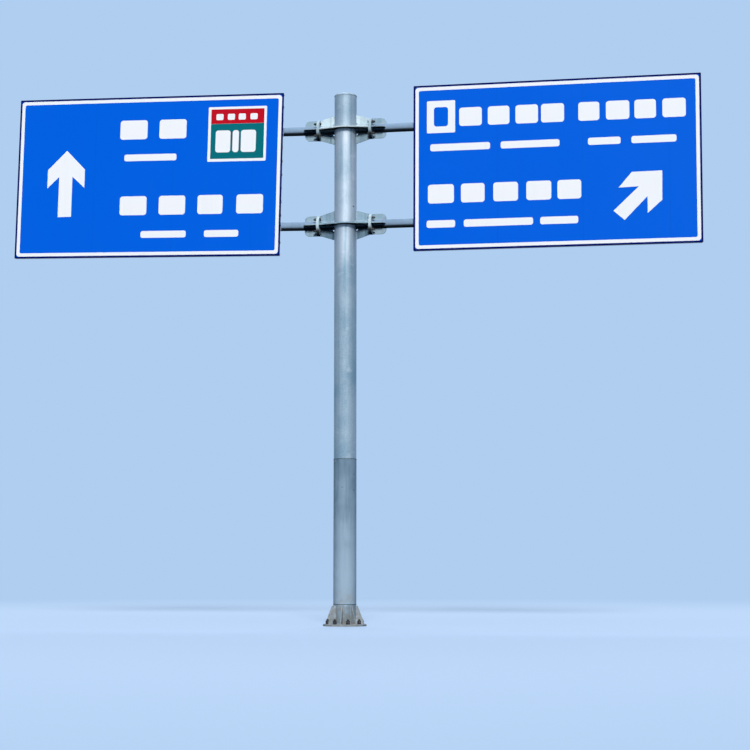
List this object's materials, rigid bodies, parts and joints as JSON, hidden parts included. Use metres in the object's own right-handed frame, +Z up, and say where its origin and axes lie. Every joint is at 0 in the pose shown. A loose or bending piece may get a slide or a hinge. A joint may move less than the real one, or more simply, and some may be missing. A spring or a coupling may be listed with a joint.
{
  "type": "double-cantilever sign gantry",
  "caption": "Road sign gantry: one tubular post with two flanged tube arms each side, each pair carrying a flat blue direction sign on rails and clamps.",
  "frame": {"origin": "middle of the base flange's underside, on the post's axis", "axes": "+Z up along the post, signs facing -Y, left arms toward -X and right arms toward +X"},
  "size_m": [10.209, 0.62, 7.8735],
  "materials": {
    "galvanised_steel": "weathered hot-dip galvanised steel, pale grey with faint streaks",
    "bare_aluminium": "mill-finish extruded aluminium, dulled outdoors",
    "sign_sheet": "aluminium sheet faced with blue reflective film, bare metal behind",
    "post_wrap": "grey-green sticker-proof sheet"
  },
  "bodies": {
    "root": {"base_flange": "galvanised_steel", "base_gussets": "galvanised_steel", "left_sign_rails": "bare_aluminium", "left_sign_ribs": "bare_aluminium", "left_sign_sheet": "sign_sheet", "lower_left_arm": "galvanised_steel", "lower_left_arm_cap": "galvanised_steel", "lower_left_arm_flange": "galvanised_steel", "lower_left_arm_ribs": "galvanised_steel", "lower_left_clamps": "galvanised_steel", "lower_left_post_flange": "galvanised_steel", "lower_left_post_gussets": "galvanised_steel", "lower_left_stub": "galvanised_steel", "lower_right_arm": "galvanised_steel", "lower_right_arm_cap": "galvanised_steel", "lower_right_arm_flange": "galvanised_steel", "lower_right_arm_ribs": "galvanised_steel", "lower_right_clamps": "galvanised_steel", "lower_right_post_flange": "galvanised_steel", "lower_right_post_gussets": "galvanised_steel", "lower_right_stub": "galvanised_steel", "lower_ring_plates": "galvanised_steel", "post_cap": "galvanised_steel", "post_tube": "galvanised_steel", "post_wrap": "post_wrap", "right_sign_rails": "bare_aluminium", "right_sign_ribs": "bare_aluminium", "right_sign_sheet": "sign_sheet", "upper_left_arm": "galvanised_steel", "upper_left_arm_cap": "galvanised_steel", "upper_left_arm_flange": "galvanised_steel", "upper_left_arm_ribs": "galvanised_steel", "upper_left_clamps": "galvanised_steel", "upper_left_post_flange": "galvanised_steel", "upper_left_post_gussets": "galvanised_steel", "upper_left_stub": "galvanised_steel", "upper_right_arm": "galvanised_steel", "upper_right_arm_cap": "galvanised_steel", "upper_right_arm_flange": "galvanised_steel", "upper_right_arm_ribs": "galvanised_steel", "upper_right_clamps": "galvanised_steel", "upper_right_post_flange": "galvanised_steel", "upper_right_post_gussets": "galvanised_steel", "upper_right_stub": "galvanised_steel", "upper_ring_plates": "galvanised_steel"}
  },
  "joints": []
}
